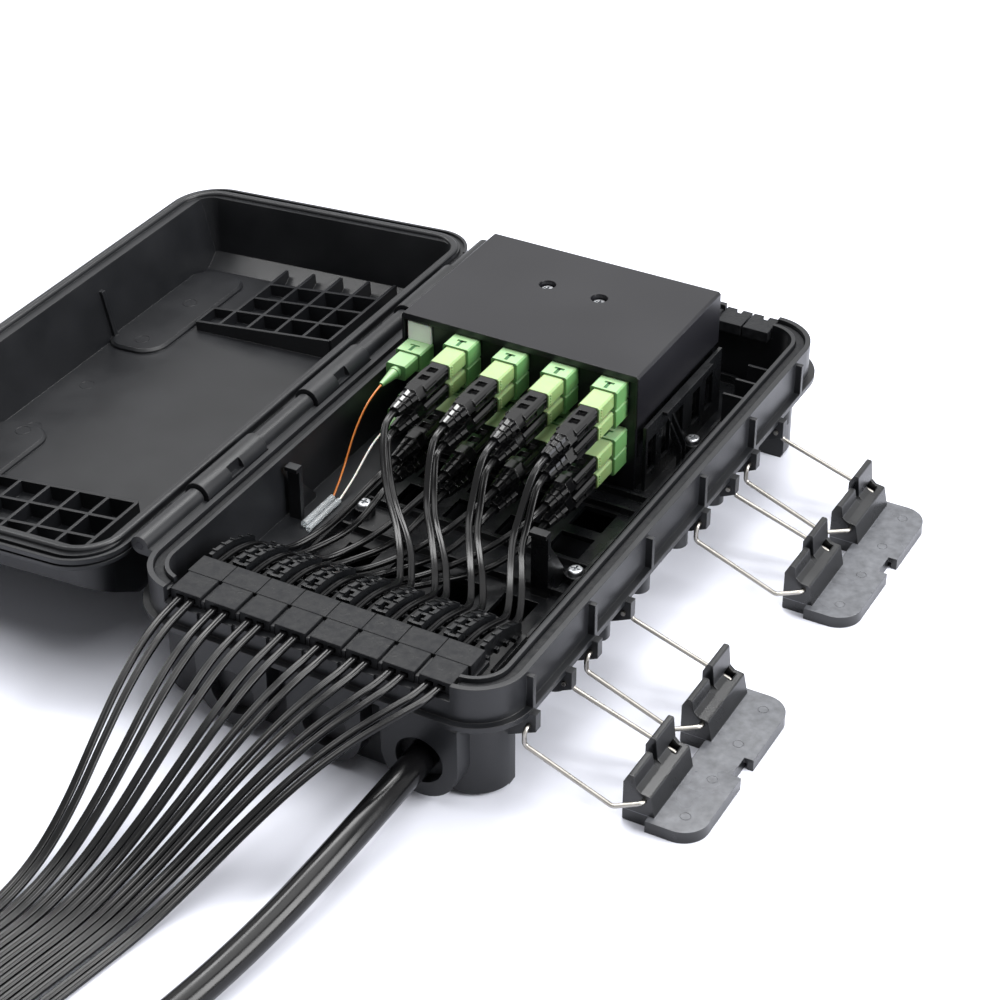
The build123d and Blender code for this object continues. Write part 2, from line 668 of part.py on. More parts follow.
def make_bail(leg):
    far = leg + bail_legs[1] - bail_legs[0]
    points = [(pivot_x, leg + 8, pivot_z), (pivot_x, leg, pivot_z), (pivot_x, leg, pivot_z - 7),
              (knee_x, leg, knee_z), (axle_x, leg + 7.5, axle_z), (axle_x, far, axle_z),
              (pivot_x, far, pivot_z - 7), (pivot_x, far, pivot_z), (pivot_x, far - 8, pivot_z)]
    path = FilletPolyline(*points, radius=[2.4, 2.6, 3.0, 3.0, 2.6, 2.6, 2.4])
    start = Plane(origin=path @ 0, z_dir=path % 0)
    return sweep(start * Circle(wire_radius), path=path)


def make_latch_plate():
    z_top = axle_z
    back = axle_x - block_back
    plate = block(axle_x + 2, plate_end_x, plate_start_y, plate_end_y, 0, plate_top)
    plate = fillet(plate.edges().filter_by(Axis.Z).group_by(Axis.X)[-1], plate_corner)
    pocket = block(axle_x + 6, plate_end_x - plate_wall, plate_start_y + plate_wall, plate_end_y - plate_wall,
                   -1, plate_top - plate_wall)
    pocket = fillet(pocket.edges().filter_by(Axis.Z).group_by(Axis.X)[-1], plate_corner - plate_wall)
    plate -= pocket
    middle_y = (plate_start_y + plate_end_y) / 2
    plate -= block(plate_end_x - 4, plate_end_x + 1, middle_y - 6, middle_y + 6, -1, plate_top + 1)
    plate += block(plate_end_x - 6, plate_end_x - 4, middle_y - 8, middle_y + 8, 0, plate_top)
    for step in (0, bail_step):
        y0 = block_start + step
        y1 = y0 + block_length
        for low, high, tip in ((y0, y0 + 16, 10.3), (y0 + 19, y1, 14.6)):
            hook = [(back, 0), (back, z_top + tip - 4), (back + 2, z_top + tip), (back + 4.4, z_top + tip),
                    (back + 5.4, z_top + 5), (back + 7.4, z_top + 3.2), (axle_x + 2.6, z_top + 2.6),
                    (axle_x + 4.6, plate_top), (axle_x + 6.5, plate_top - 2.0), (axle_x + 6.5, 0)]
            plate += prism_y(hook, low, high, 0.9)
        saddle = [(back, 0), (back, z_top + 3), (back + 3, z_top + 5), (back + 7.4, z_top + 3.2),
                  (axle_x + 2.6, z_top + 2.6), (axle_x + 4.6, plate_top), (axle_x + 6.5, 0)]
        plate += prism_y(saddle, y0 + 15, y0 + 20)
        plate -= rod_y(axle_x, axle_z, wire_radius + wire_clearance, y0 - 1, y1 + 1)
        leg_y = bail_legs[1] + step
        plate -= prism_y([(axle_x + 1.6, axle_z - 1.6), (axle_x + 1.6, axle_z + 1.8), (back - 1, axle_z + 9.4),
                          (back - 1, axle_z + 1.5), (axle_x - 3, axle_z - 1.6)], leg_y - 3.4, leg_y + 2.2)
    return plate


def cord_path(points):
    vectors = [Vector(p) for p in points]
    radii = []
    for a, b, c in zip(vectors, vectors[1:], vectors[2:]):
        turn = math.radians((b - a).get_angle(c - b))
        radii.append(0.45 * min((b - a).length, (c - b).length) / math.tan(turn / 2))
    return FilletPolyline(*vectors, radius=radii), radii


def make_flat_cord(points, seal):
    """Flat cord, swept both ways from its straight run through the seals, where it lies flat."""
    middle = (points[seal] + points[seal + 1]) / 2
    halves = [[middle] + points[seal::-1], [middle] + points[seal + 1:]]
    cord = None
    length = 0
    radii = []
    for half in halves:
        path, found = cord_path(half)
        start = Plane(origin=middle, x_dir=(1, 0, 0), z_dir=path % 0)
        piece = sweep(start * Rectangle(drop_width, drop_height), path=path)
        cord = piece if cord is None else cord + piece
        length += path.length
        radii += found
    return cord, min(radii), cord.volume / (drop_width * drop_height * length)


def make_round_cord(points, radius):
    path, radii = cord_path(points)
    start = Plane(origin=path @ 0, z_dir=path % 0)
    cord = sweep(start * Circle(radius), path=path)
    return cord, min(radii), cord.volume / (math.pi * radius ** 2 * path.length)


# Routes of the flat drop cables: boot, slack loop, comb, seals, then the fan down to the surface.
# Each upper row gives y and z of its way down to the comb, and the share of its sideways move made by then.
top_way = [(-29, 73.4), (-37, 67.5), (-43, 58.5), (-50, 50.5), (-60, 45.5), (-71, 42.5), (-82, 41.8)]
second_way = [(-28.5, 64.1), (-35.5, 59), (-42, 51.5), (-50, 46), (-60, 43), (-71, 41.5), (-82, 41.8)]
third_way = [(-30, 48.9), (-39, 45.5), (-48, 39), (-57, 33), (-67, 29.8), (-78, 29.8), (-86, 34.5)]
bottom_way = [(-30, 39.6), (-39, 36.5), (-48, 31.5), (-57, 28.6), (-67, 28.0), (-78, 28.6), (-86, 33)]
low_share = [0, 0.08, 0.25, 0.48, 0.72, 0.93, 1.0]
spread_up = [0, 0.6, 1.3, 2.0, 2.5, drop_half_spacing, drop_half_spacing]
spread_down = [0, 0.8, 1.8, 2.5, drop_half_spacing, drop_half_spacing, drop_half_spacing]
fan_spread = [2.6, 2.3, 2.0, 1.8, 1.7, 1.7, 1.7]
tail = (-16, -94, 0)
fan = [
    [(-58.0, -178, 50.4), (-55.8, -200, 43.5), (-52.8, -223, 32.5), (-50.5, -245, 19.5), (-50.5, -266, 8.5),
     (-53.0, -288, 2.2), (-57.0, -311, 1.6)],
    [(-42.4, -178, 50.2), (-41.5, -199, 43.0), (-40.5, -221, 31.5), (-40.8, -243, 18.5), (-42.5, -264, 7.8),
     (-45.6, -286, 2.0), (-49.8, -310, 1.6)],
    [(-27.0, -177, 50.6), (-27.4, -198, 43.4), (-28.6, -219, 32.4), (-30.6, -241, 19.4), (-33.8, -262, 8.4),
     (-37.8, -285, 2.2), (-42.4, -309, 1.6)],
    [(-11.8, -177, 50.2), (-14.0, -197, 42.8), (-17.2, -217, 31.4), (-21.2, -238, 18.6), (-25.6, -260, 8.0),
     (-30.4, -283, 2.0), (-35.2, -308, 1.6)],
    [(3.2, -176, 50.4), (-1.4, -195, 43.2), (-6.8, -215, 32.0), (-12.6, -236, 19.0), (-18.2, -258, 8.4),
     (-23.2, -281, 2.2), (-28.0, -307, 1.6)],
    [(18.0, -175, 50.2), (11.2, -193, 43.2), (3.8, -212, 32.4), (-3.6, -233, 19.6), (-10.2, -255, 8.6),
     (-15.8, -279, 2.1), (-20.6, -305, 1.6)],
    [(32.8, -174, 50.0), (23.8, -190, 43.4), (14.2, -208, 33.0), (5.2, -229, 20.2), (-2.4, -252, 8.8),
     (-8.6, -277, 2.2), (-13.4, -304, 1.6)],
    [(47.4, -173, 49.8), (36.6, -188, 43.2), (25.4, -205, 33.2), (15.0, -225, 20.6), (6.6, -248, 9.2),
     (0.2, -274, 2.2), (-4.8, -302, 1.6)],
]
main_points = [(51.5, -137, port_z), (51.5, -172, port_z), (49.5, -216, 16.0), (44.5, -258, 9.5),
               (38.0, -300, 6.5), (31.5, -336, 6.4)]
orange_points = [(-64.5, 6.8, 64.1), (-64.8, 0.0, 62.6), (-65.6, -7.0, 57.5), (-66.0, -15.0, 49.5),
                 (-65.6, -22.0, 41.0), (-64.9, -29.0, 34.4), (-64.5, -35.5, 29.5)]
white_points = [(-64.5, 6.8, 39.6), (-64.2, -1.0, 38.8), (-63.4, -9.0, 36.8), (-62.4, -18.0, 33.8),
                (-61.6, -27.0, 31.2), (-61.2, -35.5, 29.2)]


def drop_route(column, row):
    upper = row < 2
    place = column + 3 if upper else column - 1
    side = -1 if row % 2 == 0 else 1
    start_x = column_x[column]
    end_x = drop_x[place]
    early = 0.4 - 0.08 * column
    up_share = [0, 0.25 * early, 0.55 * early, early, early + 0.22, 0.7 * early + 0.5, 0.25 * early + 0.78]
    way = (top_way, second_way, third_way, bottom_way)[row]
    share = up_share if upper else low_share
    spread = spread_up if upper else spread_down
    points = [Vector(start_x, boot_front - 0.05, row_z[row])]
    for (y, z), part, aside in zip(way, share, spread):
        points.append(Vector(start_x + (end_x - start_x) * part + side * aside, y, z))
    slot = end_x + side * drop_half_spacing
    points.append(Vector(slot, -93, 43.6 if upper else 41.5))
    points += [Vector(slot, -104.5, 48.6), Vector(slot, -121, drop_hole_z), Vector(slot, -159, drop_hole_z)]
    for (x, y, z), aside in zip(fan[place], fan_spread):
        points.append(Vector(x + side * aside, y, z))
    points.append(points[-1] + Vector(*tail))
    return points


os.makedirs("parts", exist_ok=True)
save(make_base_shell(), "base_shell")
save(make_gasket(), "rim_gasket")
save(make_drop_seals(), "drop_port_seals")
save(make_rear_seals(), "rear_port_seals")
save(make_tray(), "inner_tray")
save(make_comb(), "cable_comb")
seat = tray_floor + tray_boss_height
save([make_screw(x, y, seat, 9) for y in screw_y for x in (-screw_x, screw_x)], "tray_screws")
save(make_cover(), "cassette_cover")
save([make_screw(x, cover_screw_y, cover_top - 4.2, 8) for x in cover_screw_x], "cover_screws")
save(make_bracket(), "cassette_bracket")
save(block(-54, 40, 62, 76, tray_floor + 2, tray_floor + 8), "splitter_module")
save(make_panel(), "adapter_panel")
for i, x in enumerate(column_x):
    rows = (1, 3) if i == 0 else (0, 1, 2, 3)
    save([make_adapter(x, row_z[j]) for j in rows], f"adapters_column_{i + 1}")
blank_half = adapter_width / 2 - 0.6
save(block(column_x[0] - blank_half, column_x[0] + blank_half, panel_face - 1.5, panel_face,
           row_z[0] - adapter_height / 2, row_z[0] + adapter_height / 2), "blank_plate")
save([make_pigtail_plug(column_x[0], row_z[j]) for j in (1, 3)], "pigtail_plugs")
save([make_pigtail_boot(column_x[0], row_z[j]) for j in (1, 3)], "pigtail_boots")
places = [(x, z) for x in column_x[1:] for z in row_z]
save([make_grip(x, z) for x, z in places], "plug_grips")
save([make_connector(x, z) for x, z in places], "connector_bodies")
save([make_boot(x, z) for x, z in places], "connector_boots")
sleeves = [rod_y(-64.5, ledge_top + 1.6, 1.6, -59, -36), rod_y(-61.2, ledge_top + 1.3, 1.3, -61, -36)]
save(sleeves, "splice_sleeves")
gland = rod_y(port_x[2], port_z, port_bore - 0.1, front_y + gland_set_back, front_y + band_inset + wall)
gland -= rod_y(port_x[2], port_z, main_cable_radius + 0.1, front_y - 20, front_y + 30)
save(gland, "main_port_gland")
plugs = [rod_y(x, port_z, port_bore - 0.1, front_y + gland_set_back, front_y + band_inset + wall)
         for x in port_x[:2]]
save(plugs, "spare_port_plugs")
clamp = block(port_x[2] - clamp_half_width, port_x[2] + clamp_half_width, front_y + clamp_set_back,
              front_y + clamp_set_back + clamp_depth, wall, clamp_top)
clamp -= rod_y(port_x[2], port_z, main_cable_radius + 0.1, front_y + clamp_set_back - 2.5,
               front_y + clamp_set_back + clamp_depth + 18)
save(clamp, "main_cable_clamp")
save(rod_y(hinge_x, rim_height, pin_radius, base_knuckles[0][0], base_knuckles[-1][1]), "hinge_pin")
save(make_lid(), "lid_shell")
for i, shift in enumerate((latch_shift, 0)):
    bails = [Pos(0, shift, 0) * make_bail(bail_legs[0] + step) for step in (0, bail_step)]
    save(bails, f"latch_{i + 1}_bails")
    save(Pos(0, shift, 0) * make_latch_plate(), f"latch_{i + 1}_plate")

number = 0
for column in range(1, 5):
    for row in range(4):
        number += 1
        route = drop_route(column, row)
        cord, radius, ratio = make_flat_cord(route, len(route) - len(fan_spread) - 3)
        print(f"drop_cable_{number:02d} tightest radius {radius:.1f}, volume ratio {ratio:.4f}")
        save(cord, f"drop_cable_{number:02d}")
for name, points, radius in (("main_cable", main_points, main_cable_radius),
                             ("orange_fibre", orange_points, 0.45), ("white_fibre", white_points, 0.45)):
    cord, tightest, ratio = make_round_cord(points, radius)
    print(f"{name} tightest radius {tightest:.1f}, volume ratio {ratio:.4f}")
    save(cord, name)
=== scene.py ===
import math
import bmesh
import bpy
from mathutils import Matrix, Vector


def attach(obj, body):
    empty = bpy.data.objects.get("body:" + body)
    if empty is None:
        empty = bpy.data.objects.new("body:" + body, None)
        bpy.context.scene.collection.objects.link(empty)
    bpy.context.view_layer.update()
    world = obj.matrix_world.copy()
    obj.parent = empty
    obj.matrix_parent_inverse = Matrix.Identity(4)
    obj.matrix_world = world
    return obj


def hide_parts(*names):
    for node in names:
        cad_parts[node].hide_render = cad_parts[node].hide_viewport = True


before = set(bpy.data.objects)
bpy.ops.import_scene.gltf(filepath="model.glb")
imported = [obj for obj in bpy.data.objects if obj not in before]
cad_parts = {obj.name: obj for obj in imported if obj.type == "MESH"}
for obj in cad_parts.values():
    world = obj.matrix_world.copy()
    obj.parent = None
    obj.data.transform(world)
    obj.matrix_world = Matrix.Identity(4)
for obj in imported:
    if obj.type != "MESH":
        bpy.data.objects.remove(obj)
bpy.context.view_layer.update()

print("frame loaded:", len(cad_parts), "nodes")

mm = 0.001

meshSteps = {
    # faces along and round a cord, and round an ejector pin mark and its bead
    "alongCord": 10,
    "roundCord": 6,
    "roundMark": 28,
    "roundBead": 6,
}

adapterGrid = {
    # the adapters' columns and rows, in millimetres
    "lastColumnX": 33.05,
    "columnPitch": 24.41,
    "rowPitch": 9.3,
    "tierPitch": 24.5,
}


# Materials

def toLinear(hexText, alpha=1.0):
    # sRGB hex to Blender's linear colour
    values = [int(hexText[i:i + 2], 16) / 255 for i in (1, 3, 5)]
    linear = [v / 12.92 if v <= 0.04045 else ((v + 0.055) / 1.055) ** 2.4 for v in values]
    return (*linear, alpha)


def addNode(tree, kind, settings=None, values=None, links=None):
    # sockets go by name, or by number where a node has two of one name
    node = tree.nodes.new(kind)
    for name, value in (settings or {}).items():
        setattr(node, name, value)
    for key, value in (values or {}).items():
        node.inputs[key].default_value = value
    for key, source in (links or {}).items():
        tree.links.new(source, node.inputs[key])
    return node


surfaceRecipe = {
    "noiseSpan": (0.3, 0.7),  # the noise seldom leaves this span
    "glowMm": 0.8,  # how far light goes into the green and white plastic
    "paintedTopFrom": 0.5,  # painted highlight: a face is painted paler when its normal points up by more than this
    "faceEdgeMm": 0.1,  # over this the painted reflection on a flat face begins and ends
    "scuffMm": 3.5,  # size of the scuffed patches within that painted reflection
}


def mouldedSurface(name, look):
    # One recipe for what is moulded, coated or cut here: colour drift, fine grain and eased edges.
    recipe = surfaceRecipe
    material = bpy.data.materials.new(name)
    material.use_nodes = True
    tree = material.node_tree
    tree.nodes.clear()
    place = addNode(tree, "ShaderNodeTexCoord").outputs["Object"]
    grain = addNode(tree, "ShaderNodeTexNoise",
                    values={"Scale": 1 / (look["grainMm"] * mm), "Detail": 3.0},
                    links={"Vector": place})
    drift = addNode(tree, "ShaderNodeTexNoise",
                    values={"Scale": 1 / (look["driftMm"] * mm), "Detail": 2.0},
                    links={"Vector": place})
    colour = addNode(tree, "ShaderNodeMix", {"data_type": "RGBA"},
                     {"A": toLinear(look["deep"]), "B": toLinear(look["pale"])},
                     {"Factor": drift.outputs["Fac"]})
    # smear: handling marks that change only the gloss
    smear = addNode(tree, "ShaderNodeMapRange",
                    values={"From Min": recipe["noiseSpan"][0], "From Max": recipe["noiseSpan"][1],
                            "To Min": look["rough"] - look["smear"],
                            "To Max": look["rough"] + look["smear"]},
                    links={"Value": drift.outputs["Fac"]})
    eased = addNode(tree, "ShaderNodeBevel", {"samples": 4}, {"Radius": look["edgeMm"] * mm})
    bump = addNode(tree, "ShaderNodeBump",
                   values={"Strength": look["bump"], "Distance": look["depthMm"] * mm},
                   links={"Height": grain.outputs["Fac"], "Normal": eased.outputs["Normal"]})
    shader = addNode(tree, "ShaderNodeBsdfPrincipled",
                     values={"Metallic": look.get("metal", 0.0), "IOR": look.get("ior", 1.5),
                             "Specular IOR Level": look.get("shine", 0.5)},
                     links={"Base Color": colour.outputs["Result"], "Roughness": smear.outputs["Result"],
                            "Normal": bump.outputs["Normal"]})
    if "glow" in look:
        shader.inputs["Subsurface Weight"].default_value = look["glow"]
        shader.inputs["Subsurface Scale"].default_value = recipe["glowMm"] * mm
    if "clear" in look:
        shader.inputs["Transmission Weight"].default_value = look["clear"]
    if "paintedTopLight" in look:
        # painted highlight: faces that look up are painted paler, as top light falls on them
        facing = addNode(tree, "ShaderNodeNewGeometry")
        up = addNode(tree, "ShaderNodeSeparateXYZ", links={"Vector": facing.outputs["Normal"]}).outputs["Z"]
        share = addNode(tree, "ShaderNodeMapRange",
                        values={"From Min": recipe["paintedTopFrom"], "From Max": 1.0,
                                "To Max": look["paintedTopShare"]},
                        links={"Value": up})
        paintedTopColour = addNode(tree, "ShaderNodeMix", {"data_type": "RGBA"}, {"B": toLinear(look["paintedTopLight"])},
                         {"Factor": share.outputs["Result"], "A": colour.outputs["Result"]})
        tree.links.new(paintedTopColour.outputs["Result"], shader.inputs["Base Color"])
    if "handleSheenMm" in look:
        # painted reflection: the flat face at this height is painted paler than the rest, as the light it
        # reflects, broken into scuffed patches
        low, high = look["handleSheenMm"]
        height = addNode(tree, "ShaderNodeSeparateXYZ", links={"Vector": place}).outputs["Z"]
        edge = recipe["faceEdgeMm"]
        over = addNode(tree, "ShaderNodeMapRange",
                       values={"From Min": low * mm, "From Max": (low + edge) * mm},
                       links={"Value": height})
        under = addNode(tree, "ShaderNodeMapRange",
                        values={"From Min": high * mm, "From Max": (high - edge) * mm},
                        links={"Value": height})
        both = addNode(tree, "ShaderNodeMath", {"operation": "MULTIPLY"},
                       links={0: over.outputs["Result"], 1: under.outputs["Result"]})
        scuffs = addNode(tree, "ShaderNodeTexNoise",
                         values={"Scale": 1 / (recipe["scuffMm"] * mm), "Detail": 6.0},
                         links={"Vector": place})
        sheenAndScuffs = addNode(tree, "ShaderNodeMix", {"data_type": "RGBA"},
                         {"A": toLinear(look["handleSheenDeep"]), "B": toLinear(look["handleSheenPale"])},
                         {"Factor": scuffs.outputs["Fac"]})
        topped = addNode(tree, "ShaderNodeMix", {"data_type": "RGBA"},
                         links={"Factor": both.outputs["Value"], "A": colour.outputs["Result"],
                                "B": sheenAndScuffs.outputs["Result"]})
        tree.links.new(topped.outputs["Result"], shader.inputs["Base Color"])
    addNode(tree, "ShaderNodeOutputMaterial", links={"Surface": shader.outputs["BSDF"]})
    return material


surfaces = {
    # Textured ABS, moulded in a spark-eroded tool: a soft even sheen and grey edges.
    "absSparkTextured": dict(deep="#111214", pale="#1a1b1e", rough=0.36, smear=0.05, shine=0.36,
                             grainMm=0.45, driftMm=26, bump=0.35, depthMm=0.08, edgeMm=0.5),
    # The same ABS on the latch plates, whose flat handles carry a painted grey reflection with scuffed
    # patches.
    "absLatchHandle": dict(deep="#0d0e10", pale="#151618", rough=0.3, smear=0.05,
                           grainMm=0.45, driftMm=18, bump=0.35, depthMm=0.08, edgeMm=0.6,
                           handleSheenMm=(5.3, 5.8), handleSheenDeep="#2f3033", handleSheenPale="#6c6e73"),
    # Smooth ABS of the tray and comb: glossier, with flow marks.
    "absSmoothTray": dict(deep="#0c0d0f", pale="#141517", rough=0.26, smear=0.08,
                          grainMm=1.2, driftMm=14, bump=0.15, depthMm=0.05, edgeMm=0.4),
    # Polycarbonate connector shells: hard bright reflections on near black.
    "polycarbonateBlack": dict(deep="#050506", pale="#0a0a0b", rough=0.12, smear=0.03, ior=1.58,
                               grainMm=2.0, driftMm=9, bump=0.08, depthMm=0.04, edgeMm=0.35),
    # Powder coated sheet steel: smooth black with a broad soft reflection.
    "powderCoatedSteel": dict(deep="#0f0f13", pale="#16161a", rough=0.34, smear=0.03, shine=0.36,
                              grainMm=0.8, driftMm=60, bump=0.1, depthMm=0.03, edgeMm=0.7),
    # PBT adapter bodies: waxy mid green, with a painted highlight that makes faces looking up paler.
    "pbtGreen": dict(deep="#4f8049", pale="#67935d", rough=0.36, smear=0.05, glow=0.1,
                     grainMm=0.9, driftMm=12, bump=0.12, depthMm=0.04, edgeMm=0.35,
                     paintedTopLight="#b3cfa4", paintedTopShare=0.5),
    # Painted shade: a darker green for thin pieces laid in the keyways, where the keyways' shade falls.
    "pbtSlot": dict(deep="#24522a", pale="#316337", rough=0.5, smear=0.05,
                    grainMm=0.9, driftMm=12, bump=0.1, depthMm=0.04, edgeMm=0.1),
    # PBT plug grips: paler lime, with a painted highlight that makes faces looking up paler.
    "pbtLime": dict(deep="#748f59", pale="#87a26b", rough=0.34, smear=0.05, glow=0.12,
                    grainMm=0.9, driftMm=12, bump=0.12, depthMm=0.04, edgeMm=0.35,
                    paintedTopLight="#c2d2a8", paintedTopShare=0.3),
    # White ABS blank: matt and slightly warm.
    "absWhite": dict(deep="#f0f1ee", pale="#fbfbf9", rough=0.45, smear=0.04, glow=0.1,
                     grainMm=0.8, driftMm=10, bump=0.1, depthMm=0.04, edgeMm=0.3),
    # EPDM rubber: dull dark grey with a faint bloom.
    "epdmRubber": dict(deep="#08090a", pale="#1c1d20", rough=0.55, smear=0.16, shine=0.2,
                       grainMm=1.1, driftMm=3, bump=0.9, depthMm=0.25, edgeMm=0.8),
    # Extruded low-smoke jacket: smooth satin black.
    "extrudedJacket": dict(deep="#060607", pale="#0c0c0d", rough=0.2, smear=0.06, shine=0.22,
                           grainMm=1.6, driftMm=20, bump=0.1, depthMm=0.05, edgeMm=0.2),
    # Drawn stainless wire: warm grey metal.
    "drawnStainless": dict(deep="#85827d", pale="#a19e98", rough=0.3, smear=0.06, metal=1.0,
                           grainMm=0.5, driftMm=6, bump=0.1, depthMm=0.02, edgeMm=0.1),
    # Blackened steel hinge pin: dark grey with a soft oily gleam.
    "blackenedSteel": dict(deep="#18181a", pale="#252528", rough=0.34, smear=0.06, metal=0.7,
                           grainMm=0.5, driftMm=6, bump=0.1, depthMm=0.02, edgeMm=0.1),
    # Zinc plated steel: bright cool metal.
    "zincPlated": dict(deep="#a6a8ac", pale="#c6c8cb", rough=0.36, smear=0.05, metal=1.0,
                       grainMm=0.6, driftMm=4, bump=0.1, depthMm=0.03, edgeMm=0.2),
    # Acrylate coated fibre, orange and natural white.
    "acrylateOrange": dict(deep="#b9651f", pale="#d17e33", rough=0.3, smear=0.04, glow=0.15,
                           grainMm=1.0, driftMm=8, bump=0.05, depthMm=0.02, edgeMm=0.1),
    "acrylateWhite": dict(deep="#d9d6cd", pale="#efede6", rough=0.3, smear=0.04, glow=0.15,
                          grainMm=1.0, driftMm=8, bump=0.05, depthMm=0.02, edgeMm=0.1),
    # Heat-shrink tube: milky clear.
    "heatShrinkClear": dict(deep="#dfe6ea", pale="#f3f6f8", rough=0.16, smear=0.04, clear=0.75,
                            grainMm=2.0, driftMm=6, bump=0.15, depthMm=0.05, edgeMm=0.2),
}
finish = {name: mouldedSurface(name, look) for name, look in surfaces.items()}

nodeFinish = {
    "absSparkTextured": ["base_shell", "lid_shell", "spare_port_plugs"],
    "absLatchHandle": ["latch_1_plate", "latch_2_plate"],
    "absSmoothTray": ["inner_tray", "cable_comb", "cassette_bracket", "main_cable_clamp",
                      "splitter_module"],
    "polycarbonateBlack": ["connector_bodies", "connector_boots"],
    "powderCoatedSteel": ["cassette_cover", "adapter_panel"],
    "pbtGreen": [f"adapters_column_{i}" for i in range(1, 6)] + ["pigtail_plugs", "pigtail_boots"],
    "pbtLime": ["plug_grips"],
    "absWhite": ["blank_plate"],
    "epdmRubber": ["rim_gasket", "drop_port_seals", "rear_port_seals", "main_port_gland"],
    "drawnStainless": ["latch_1_bails", "latch_2_bails"],
    "blackenedSteel": ["hinge_pin"],
    "zincPlated": ["tray_screws", "cover_screws"],
    "heatShrinkClear": ["splice_sleeves"],
}
for name, nodes in nodeFinish.items():
    for node in nodes:
        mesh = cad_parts[node].data
        mesh.materials.clear()
        mesh.materials.append(finish[name])
print("materials set:", len(finish))


# Cords

dropRoutes = {
    # the same points as the solids' routes, in millimetres
    "topWay": [(-29, 73.4), (-37, 67.5), (-43, 58.5), (-50, 50.5), (-60, 45.5), (-71, 42.5), (-82, 41.8)],
    "secondWay": [(-28.5, 64.1), (-35.5, 59), (-42, 51.5), (-50, 46), (-60, 43), (-71, 41.5), (-82, 41.8)],
    "thirdWay": [(-30, 48.9), (-39, 45.5), (-48, 39), (-57, 33), (-67, 29.8), (-78, 29.8), (-86, 34.5)],
    "bottomWay": [(-30, 39.6), (-39, 36.5), (-48, 31.5), (-57, 28.6), (-67, 28.0), (-78, 28.6), (-86, 33)],
    # share of the way across to the comb at each of those points
    "lowShare": [0, 0.08, 0.25, 0.48, 0.72, 0.93, 1.0],
    # the upper rows cross early, less so in each column: a part of the early share, and what is added to it
    "upShare": [(0, 0), (0.25, 0), (0.55, 0), (1, 0), (1, 0.22), (0.7, 0.5), (0.25, 0.78)],
    "earlyShare": 0.4,
    "earlyStep": 0.08,
    # how far the two cables of a pair stand apart from their middle
    "spreadUp": [0, 0.6, 1.3, 2.0, 2.5, 2.7, 2.7],
    "spreadDown": [0, 0.8, 1.8, 2.5, 2.7, 2.7, 2.7],
    "fanSpread": [2.6, 2.3, 2.0, 1.8, 1.7, 1.7, 1.7],
    "fan": [
        [(-58.0, -178, 50.4), (-55.8, -200, 43.5), (-52.8, -223, 32.5), (-50.5, -245, 19.5),
         (-50.5, -266, 8.5), (-53.0, -288, 2.2), (-57.0, -311, 1.6)],
        [(-42.4, -178, 50.2), (-41.5, -199, 43.0), (-40.5, -221, 31.5), (-40.8, -243, 18.5),
         (-42.5, -264, 7.8), (-45.6, -286, 2.0), (-49.8, -310, 1.6)],
        [(-27.0, -177, 50.6), (-27.4, -198, 43.4), (-28.6, -219, 32.4), (-30.6, -241, 19.4),
         (-33.8, -262, 8.4), (-37.8, -285, 2.2), (-42.4, -309, 1.6)],
        [(-11.8, -177, 50.2), (-14.0, -197, 42.8), (-17.2, -217, 31.4), (-21.2, -238, 18.6),
         (-25.6, -260, 8.0), (-30.4, -283, 2.0), (-35.2, -308, 1.6)],
        [(3.2, -176, 50.4), (-1.4, -195, 43.2), (-6.8, -215, 32.0), (-12.6, -236, 19.0),
         (-18.2, -258, 8.4), (-23.2, -281, 2.2), (-28.0, -307, 1.6)],
        [(18.0, -175, 50.2), (11.2, -193, 43.2), (3.8, -212, 32.4), (-3.6, -233, 19.6),
         (-10.2, -255, 8.6), (-15.8, -279, 2.1), (-20.6, -305, 1.6)],
        [(32.8, -174, 50.0), (23.8, -190, 43.4), (14.2, -208, 33.0), (5.2, -229, 20.2),
         (-2.4, -252, 8.8), (-8.6, -277, 2.2), (-13.4, -304, 1.6)],
        [(47.4, -173, 49.8), (36.6, -188, 43.2), (25.4, -205, 33.2), (15.0, -225, 20.6),
         (6.6, -248, 9.2), (0.2, -274, 2.2), (-4.8, -302, 1.6)],
    ],
    "startY": -22.05,
    "rowZ": [73.4, 64.1, 48.9, 39.6],
    "dropX": [-58.5 + 16.3 * i for i in range(8)],
    "side": 2.7,
    "upperComb": [(-93, 43.6), (-104.5, 48.6)],
    "lowerComb": [(-93, 41.5), (-104.5, 48.6)],
    "seal": [(-121, 53.0), (-159, 53.0)],
    "tail": (-16, -94, 0),
    "width": 3.0,
    "thick": 2.0,
    # a quarter of the section, in shares of half the width and half the thickness
    "outline": [(1, 0), (0.97, 0.55), (0.84, 0.9), (0.62, 1), (0.2, 1), (0, 0.82)],
}


def dropRoute(column, row):
    r = dropRoutes
    upper = row < 2
    place = column + 3 if upper else column - 1
    side = -1 if row % 2 == 0 else 1
    startX = adapterGrid["lastColumnX"] - adapterGrid["columnPitch"] * (4 - column)
    endX = r["dropX"][place]
    early = r["earlyShare"] - r["earlyStep"] * column
    upShare = [part * early + rest for part, rest in r["upShare"]]
    way = (r["topWay"], r["secondWay"], r["thirdWay"], r["bottomWay"])[row]
    share = upShare if upper else r["lowShare"]
    spread = r["spreadUp"] if upper else r["spreadDown"]
    points = [(startX, r["startY"], r["rowZ"][row])]
    for (y, z), part, aside in zip(way, share, spread):
        points.append((startX + (endX - startX) * part + side * aside, y, z))
    slot = endX + side * r["side"]
    points += [(slot, y, z) for y, z in r["upperComb" if upper else "lowerComb"] + r["seal"]]
    points += [(x + side * aside, y, z) for (x, y, z), aside in zip(r["fan"][place], r["fanSpread"])]
    points.append(tuple(a + b for a, b in zip(points[-1], r["tail"])))
    return points


